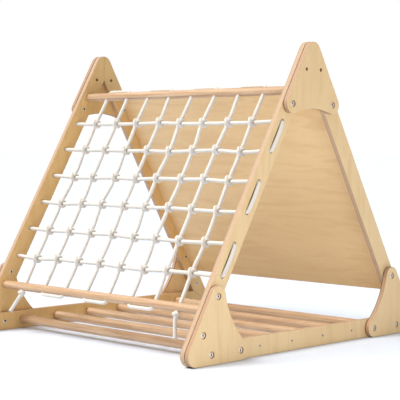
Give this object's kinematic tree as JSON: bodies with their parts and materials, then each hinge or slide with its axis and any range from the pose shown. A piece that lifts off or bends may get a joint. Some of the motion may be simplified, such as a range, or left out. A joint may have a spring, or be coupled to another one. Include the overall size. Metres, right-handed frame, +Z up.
{
  "type": "toddler climbing triangle",
  "caption": "Freestanding plywood climbing triangle for toddlers: a rope net on one slope, a plywood panel on the other and a ladder of dowels along the floor between its two side triangles.",
  "frame": {"origin": "on the floor under the middle of the frame, halfway between the side triangles and halfway between the front and the back corners", "axes": "+Z up, +X along the dowels to the right side triangle, +Y from the net slope to the panel slope"},
  "size_m": [0.9106, 0.976, 0.8533],
  "materials": {
    "birch_plywood": "clear satin lacquer on rotary-cut birch, with ply lines on the edges",
    "panel_plywood": "clear satin lacquer on rotary-cut birch",
    "beech_dowel": "oiled beech, fine flecked grain along the dowel",
    "cotton_rope": "natural white braided rope",
    "zinc_steel": "bright zinc plate"
  },
  "bodies": {
    "root": {"base_rail_left": "birch_plywood", "base_rail_right": "birch_plywood", "panel_rail_left": "birch_plywood", "panel_rail_right": "birch_plywood", "net_rail_left": "birch_plywood", "net_rail_right": "birch_plywood", "gusset_front_left": "birch_plywood", "gusset_front_right": "birch_plywood", "gusset_back_left": "birch_plywood", "gusset_back_right": "birch_plywood", "gusset_top_left": "birch_plywood", "gusset_top_right": "birch_plywood", "bolt_front_left_1": "zinc_steel", "bolt_front_left_2": "zinc_steel", "bolt_front_left_3": "zinc_steel", "bolt_front_left_4": "zinc_steel", "bolt_front_right_1": "zinc_steel", "bolt_front_right_2": "zinc_steel", "bolt_front_right_3": "zinc_steel", "bolt_front_right_4": "zinc_steel", "bolt_back_left_1": "zinc_steel", "bolt_back_left_2": "zinc_steel", "bolt_back_left_3": "zinc_steel", "bolt_back_left_4": "zinc_steel", "bolt_back_right_1": "zinc_steel", "bolt_back_right_2": "zinc_steel", "bolt_back_right_3": "zinc_steel", "bolt_back_right_4": "zinc_steel", "bolt_top_left_1": "zinc_steel", "bolt_top_left_2": "zinc_steel", "bolt_top_right_1": "zinc_steel", "bolt_top_right_2": "zinc_steel", "base_dowel_1": "beech_dowel", "base_dowel_2": "beech_dowel", "base_dowel_3": "beech_dowel", "base_dowel_4": "beech_dowel", "base_dowel_5": "beech_dowel", "base_dowel_6": "beech_dowel", "net_dowel_top": "beech_dowel", "net_dowel_bottom": "beech_dowel", "climbing_panel": "panel_plywood", "net_rope_down_1": "cotton_rope", "net_rope_down_2": "cotton_rope", "net_rope_down_3": "cotton_rope", "net_rope_down_4": "cotton_rope", "net_rope_down_5": "cotton_rope", "net_rope_down_6": "cotton_rope", "net_rope_down_7": "cotton_rope", "net_rope_down_8": "cotton_rope", "net_rope_across_1": "cotton_rope", "net_rope_across_2": "cotton_rope", "net_rope_across_3": "cotton_rope", "net_rope_across_4": "cotton_rope", "net_rope_across_5": "cotton_rope", "net_rope_across_6": "cotton_rope", "rope_end_knot_1": "cotton_rope", "rope_end_knot_2": "cotton_rope", "rope_tail_left": "cotton_rope", "rope_tail_right": "cotton_rope"}
  },
  "joints": []
}
